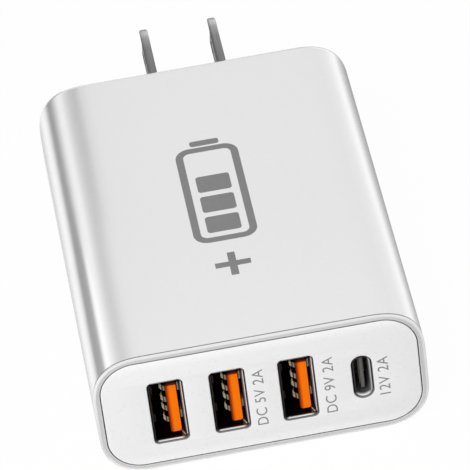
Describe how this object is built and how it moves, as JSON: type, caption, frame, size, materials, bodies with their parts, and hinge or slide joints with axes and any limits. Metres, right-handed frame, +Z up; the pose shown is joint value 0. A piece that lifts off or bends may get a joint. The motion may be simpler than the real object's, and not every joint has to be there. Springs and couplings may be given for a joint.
{
  "type": "usb wall charger",
  "caption": "Rounded rectangular wall charger with upright USB-A sockets and a USB-C socket in one end and two flat plug blades in the other.",
  "frame": {"origin": "centre of the bounding box on the plane of the lower large face", "axes": "+X across the width, the USB-C side; +Y from the port end to the blade tips; +Z up through the thickness, towards the large face nearer the blades"},
  "size_m": [0.057, 0.098, 0.025],
  "materials": {
    "housing_gloss": "glossy white moulded plastic",
    "cover_satin": "satin white moulded plastic",
    "blade_nickel": "bright nickel plate",
    "shell_steel": "plated sheet steel",
    "tongue_orange": "orange insulator",
    "contact_gold": "gold-flashed contacts",
    "usb_c_steel": "dark plated sheet steel",
    "usb_c_insulator": "dark grey insulator",
    "inner_plastic": "black moulded plastic",
    "board": "green glass-epoxy board",
    "ferrite": "dark ferrite",
    "winding_tape": "taped winding",
    "capacitor_can": "sleeved can",
    "heat_sink": "plain sheet",
    "screw": "zinc plate",
    "copper_wire": "enamelled copper",
    "film_box": "film capacitor box",
    "fuse_body": "brown moulded case",
    "varistor_coat": "blue coating",
    "lead_strip": "tinned brass strip"
  },
  "bodies": {
    "root": {"blade_carrier": "inner_plastic", "blade_left": "blade_nickel", "blade_right": "blade_nickel", "bridge_rectifier": "inner_plastic", "choke_core": "ferrite", "choke_winding_1": "copper_wire", "choke_winding_2": "copper_wire", "filter_capacitor": "film_box", "front_cover": "cover_satin", "heat_sink": "heat_sink", "housing": "housing_gloss", "input_capacitor_1": "capacitor_can", "input_capacitor_2": "capacitor_can", "lead_left": "lead_strip", "lead_right": "lead_strip", "main_board": "board", "mains_fuse": "fuse_body", "optocoupler": "inner_plastic", "output_capacitor_1": "capacitor_can", "output_capacitor_2": "capacitor_can", "output_capacitor_3": "capacitor_can", "port_board": "board", "port_controller_1": "inner_plastic", "port_controller_2": "inner_plastic", "primary_controller": "inner_plastic", "switching_transistor": "inner_plastic", "transformer_bobbin": "inner_plastic", "transformer_core": "ferrite", "transformer_winding": "winding_tape", "transistor_screw": "screw", "usb_a_contacts_1": "contact_gold", "usb_a_contacts_2": "contact_gold", "usb_a_contacts_3": "contact_gold", "usb_a_shell_1": "shell_steel", "usb_a_shell_2": "shell_steel", "usb_a_shell_3": "shell_steel", "usb_a_tongue_1": "tongue_orange", "usb_a_tongue_2": "tongue_orange", "usb_a_tongue_3": "tongue_orange", "usb_c_contacts": "contact_gold", "usb_c_shell": "usb_c_steel", "usb_c_tongue": "usb_c_insulator", "varistor": "varistor_coat"}
  },
  "joints": []
}
